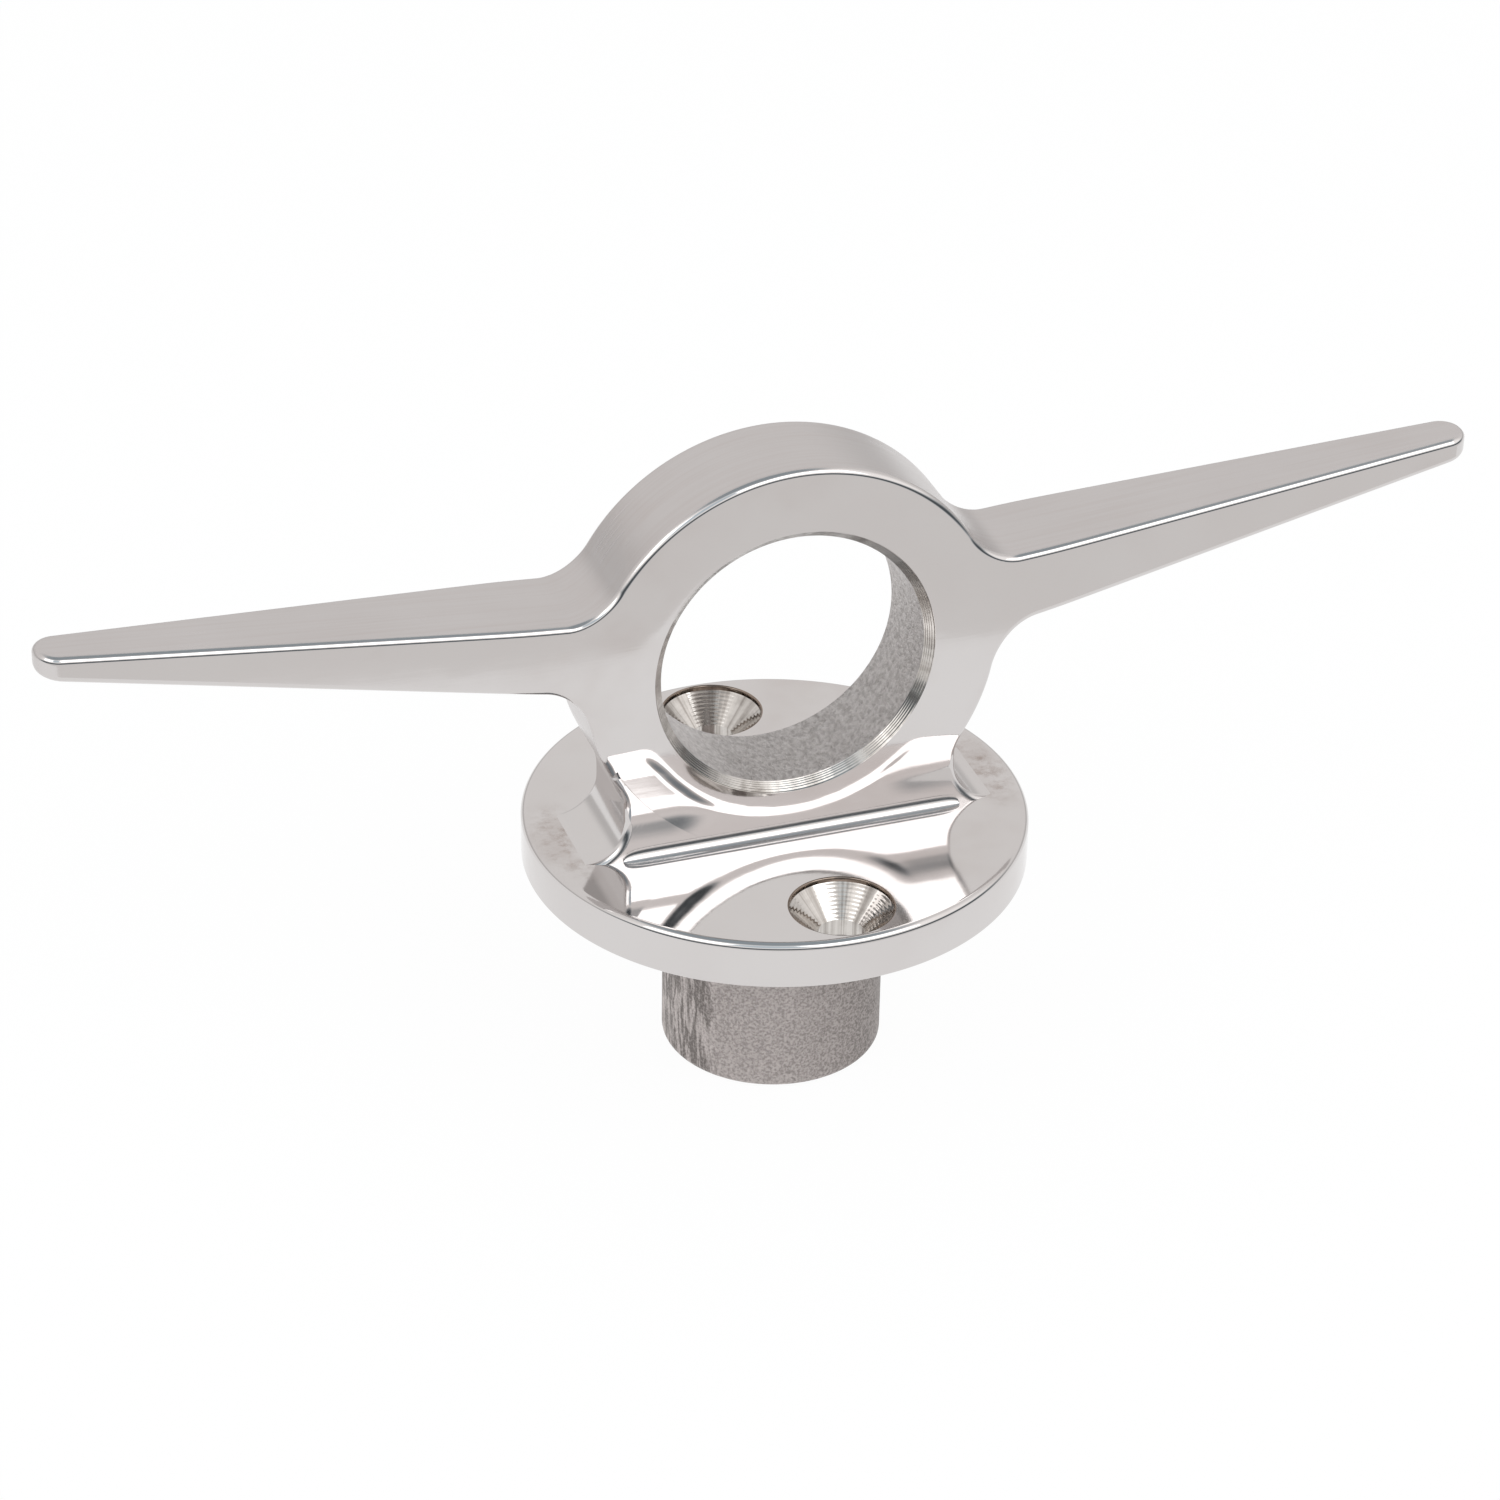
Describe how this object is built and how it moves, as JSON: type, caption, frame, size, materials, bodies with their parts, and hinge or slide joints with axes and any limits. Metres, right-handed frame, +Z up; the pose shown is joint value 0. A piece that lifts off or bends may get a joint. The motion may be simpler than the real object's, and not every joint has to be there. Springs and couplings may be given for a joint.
{
  "type": "mooring cleat",
  "caption": "Stainless mooring cleat: tapered horns on a ring eye, with a countersunk round deck flange and a locating spigot below.",
  "frame": {"origin": "middle of the flange's underside, where the spigot enters the deck", "axes": "+X along the horns, +Y along the eye's bore, +Z up out of the deck"},
  "size_m": [0.2016, 0.07, 0.0923],
  "materials": {
    "polished_stainless": "mirror-buffed stainless steel with fine polishing lines; machined chamfers and countersinks, cast-rough bore wall",
    "polished_weld": "weld bead ground concave and buffed, dark in its tight corners",
    "rough_stainless": "bead-blasted stainless steel with file marks"
  },
  "bodies": {
    "root": {"ring_eye": "polished_stainless", "horn_left": "polished_stainless", "horn_right": "polished_stainless", "foot_left": "polished_stainless", "foot_right": "polished_stainless", "base_flange": "polished_stainless", "foot_weld_front": "polished_weld", "foot_weld_rear": "polished_weld", "foot_weld_left": "polished_weld", "foot_weld_right": "polished_weld", "spigot": "rough_stainless", "spigot_weld": "rough_stainless"}
  },
  "joints": []
}
